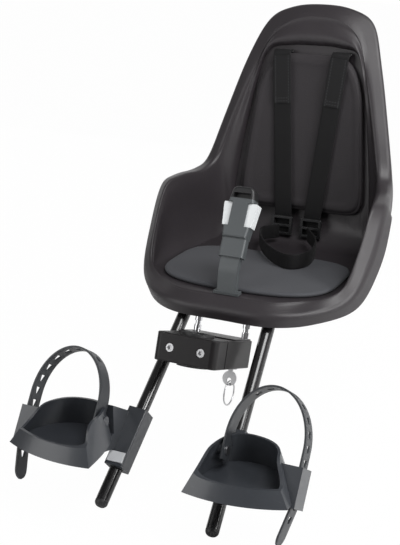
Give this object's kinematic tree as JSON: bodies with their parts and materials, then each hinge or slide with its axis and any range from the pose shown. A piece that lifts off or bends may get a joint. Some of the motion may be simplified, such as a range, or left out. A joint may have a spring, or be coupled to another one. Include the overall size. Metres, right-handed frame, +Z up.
{
  "type": "front-mounted child bike seat",
  "caption": "Moulded child bucket seat with padded back, harness and buckle, on a bent tube frame with strapped footrests and a stem clamp block with lock.",
  "frame": {"origin": "centre of the bore that clamps the handlebar stem", "axes": "+Z up, +X to the child's left, +Y backwards from the front wheel; the bore leans back 20 degrees from vertical"},
  "size_m": [0.3566, 0.5708, 0.5417],
  "materials": {
    "block_plastic": "satin",
    "buckle_plastic": "satin",
    "button_plastic": "satin",
    "footrest_plastic": "satin",
    "hardware_steel": "satin",
    "pad_foam": "matte",
    "pin_chrome": "polished",
    "plate_steel": "matte",
    "plug_plastic": "satin",
    "release_plastic": "satin",
    "shell_plastic": "matte",
    "shim_plastic": "matte",
    "strap_rubber": "matte",
    "tube_paint": "gloss",
    "webbing": "matte"
  },
  "bodies": {
    "block": {"mount_block": "block_plastic", "clamp_cap": "block_plastic", "clamp_bolt_left": "hardware_steel", "clamp_bolt_right": "hardware_steel", "stem_shim": "shim_plastic", "block_lid": "block_plastic", "lock_barrel": "hardware_steel"},
    "seat": {"seat_shell": "shell_plastic", "seat_pad": "pad_foam", "back_pad": "pad_foam", "shoulder_strap_left": "webbing", "shoulder_strap_right": "webbing", "strap_anchor_left": "hardware_steel", "strap_anchor_right": "hardware_steel", "strap_adjuster_left": "buckle_plastic", "strap_adjuster_right": "buckle_plastic", "hip_strap": "webbing", "crotch_post": "buckle_plastic", "buckle_front": "buckle_plastic", "buckle_rear": "buckle_plastic", "leg_frame": "tube_paint", "leg_plug_left": "plug_plastic", "leg_plug_right": "plug_plastic", "seat_carrier": "plate_steel", "pin_bridge": "block_plastic", "mount_pin_left": "pin_chrome", "mount_pin_right": "pin_chrome", "seat_bolt_1": "hardware_steel", "seat_bolt_2": "hardware_steel", "seat_bolt_3": "hardware_steel", "seat_bolt_4": "hardware_steel", "seat_nut_1": "hardware_steel", "seat_nut_2": "hardware_steel", "seat_nut_3": "hardware_steel", "seat_nut_4": "hardware_steel"},
    "key": {"lock_key": "hardware_steel"},
    "ring": {"key_ring": "hardware_steel"},
    "foot_left": {"footrest_left": "footrest_plastic", "foot_strap_left": "strap_rubber", "foot_rivet_left": "hardware_steel", "foot_plate_left": "plate_steel"},
    "release_left": {"release_button_left": "release_plastic"},
    "buckle_release_left": {"buckle_button_left": "button_plastic"},
    "foot_right": {"footrest_right": "footrest_plastic", "foot_strap_right": "strap_rubber", "foot_rivet_right": "hardware_steel", "foot_plate_right": "plate_steel"},
    "release_right": {"release_button_right": "release_plastic"},
    "buckle_release_right": {"buckle_button_right": "button_plastic"}
  },
  "joints": [
    {"name": "seat_lift", "type": "slide", "parent": "block", "child": "seat", "axis": [0, 0.342, 0.9397], "range_m": [0, 0.045]},
    {"name": "foot_slide_left", "type": "slide", "parent": "seat", "child": "foot_left", "axis": [-0.0572, 0.7355, 0.6751], "range_m": [-0.03, 0.06]},
    {"name": "release_press_left", "type": "slide", "parent": "foot_left", "child": "release_left", "axis": [0, 0.6762, -0.7367], "range_m": [0, 0.0012], "stiffness_N_per_m": 800, "springref_m": -0.0005},
    {"name": "buckle_press_left", "type": "slide", "parent": "seat", "child": "buckle_release_left", "axis": [-1, 0, 0], "range_m": [0, 0.003], "stiffness_N_per_m": 600, "springref_m": -0.001},
    {"name": "foot_slide_right", "type": "slide", "parent": "seat", "child": "foot_right", "axis": [0.0572, 0.7355, 0.6751], "range_m": [-0.03, 0.06]},
    {"name": "release_press_right", "type": "slide", "parent": "foot_right", "child": "release_right", "axis": [0, 0.6762, -0.7367], "range_m": [0, 0.0012], "stiffness_N_per_m": 800, "springref_m": -0.0005},
    {"name": "buckle_press_right", "type": "slide", "parent": "seat", "child": "buckle_release_right", "axis": [1, 0, 0], "range_m": [0, 0.003], "stiffness_N_per_m": 600, "springref_m": -0.001},
    {"name": "key_turn", "type": "hinge", "parent": "block", "child": "key", "pos_m": [0.029, 0.03878, -0.0338], "axis": [0, 0.342, 0.9397], "range_deg": [0, 90]},
    {"name": "ring_swing", "type": "hinge", "parent": "key", "child": "ring", "pos_m": [0.029, 0.03327, -0.04895], "axis": [0, 1, 0], "range_deg": [-25, 25]}
  ]
}
